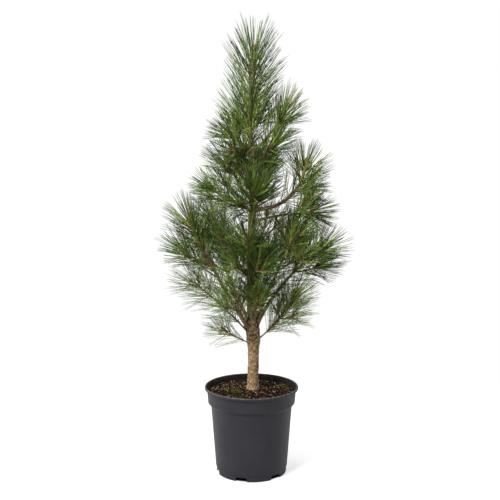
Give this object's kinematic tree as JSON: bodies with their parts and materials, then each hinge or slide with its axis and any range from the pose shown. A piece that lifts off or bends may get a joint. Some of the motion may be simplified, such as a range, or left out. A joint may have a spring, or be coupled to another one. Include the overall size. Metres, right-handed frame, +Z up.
{
  "type": "potted austrian pine",
  "caption": "Young upright conifer with a bare trunk foot, whorls of boughs and long needles in brush-like tufts, in a round tapered nursery pot filled with soil.",
  "frame": {"origin": "centre of the pot's flat underside, on the surface it stands on", "axes": "+Z up along the trunk, -Y towards the viewer of the picture, +X to that viewer's right"},
  "size_m": [0.4926, 0.3873, 1.1704],
  "materials": {
    "pot_plastic": "satin",
    "soil": "matte",
    "trunk_bark": "matte",
    "bough_bark": "matte",
    "needles": "satin"
  },
  "bodies": {
    "root": {"bough_back_left": "bough_bark", "bough_back_right": "bough_bark", "bough_big_left": "bough_bark", "bough_big_right": "bough_bark", "bough_front_middle": "bough_bark", "bough_high_back": "bough_bark", "bough_high_front": "bough_bark", "bough_high_front_left": "bough_bark", "bough_high_left": "bough_bark", "bough_high_right": "bough_bark", "bough_high_right_low": "bough_bark", "bough_long_left": "bough_bark", "bough_low_front_left": "bough_bark", "bough_low_front": "bough_bark", "bough_low_left": "bough_bark", "bough_low_right": "bough_bark", "bough_middle_back": "bough_bark", "bough_middle_back_left": "bough_bark", "bough_middle_back_right": "bough_bark", "bough_middle_front_right": "bough_bark", "bough_middle_left": "bough_bark", "bough_middle_right": "bough_bark", "bough_top_back": "bough_bark", "bough_top_front_left": "bough_bark", "bough_top_front_right": "bough_bark", "bough_top_left": "bough_bark", "bough_top_right": "bough_bark", "foliage_back_left": "needles", "foliage_back_right": "needles", "foliage_big_left": "needles", "foliage_big_right": "needles", "foliage_front_middle": "needles", "foliage_high_back": "needles", "foliage_high_front": "needles", "foliage_high_front_left": "needles", "foliage_high_left": "needles", "foliage_high_right": "needles", "foliage_high_right_low": "needles", "foliage_leader": "needles", "foliage_long_left": "needles", "foliage_low_front_left": "needles", "foliage_low_front": "needles", "foliage_low_left": "needles", "foliage_low_right": "needles", "foliage_middle_back": "needles", "foliage_middle_back_left": "needles", "foliage_middle_back_right": "needles", "foliage_middle_front_right": "needles", "foliage_middle_left": "needles", "foliage_middle_right": "needles", "foliage_top_back": "needles", "foliage_top_front_left": "needles", "foliage_top_front_right": "needles", "foliage_top_left": "needles", "foliage_top_right": "needles", "foliage_trunk_middle": "needles", "pot": "pot_plastic", "soil": "soil", "trunk": "trunk_bark"}
  },
  "joints": []
}
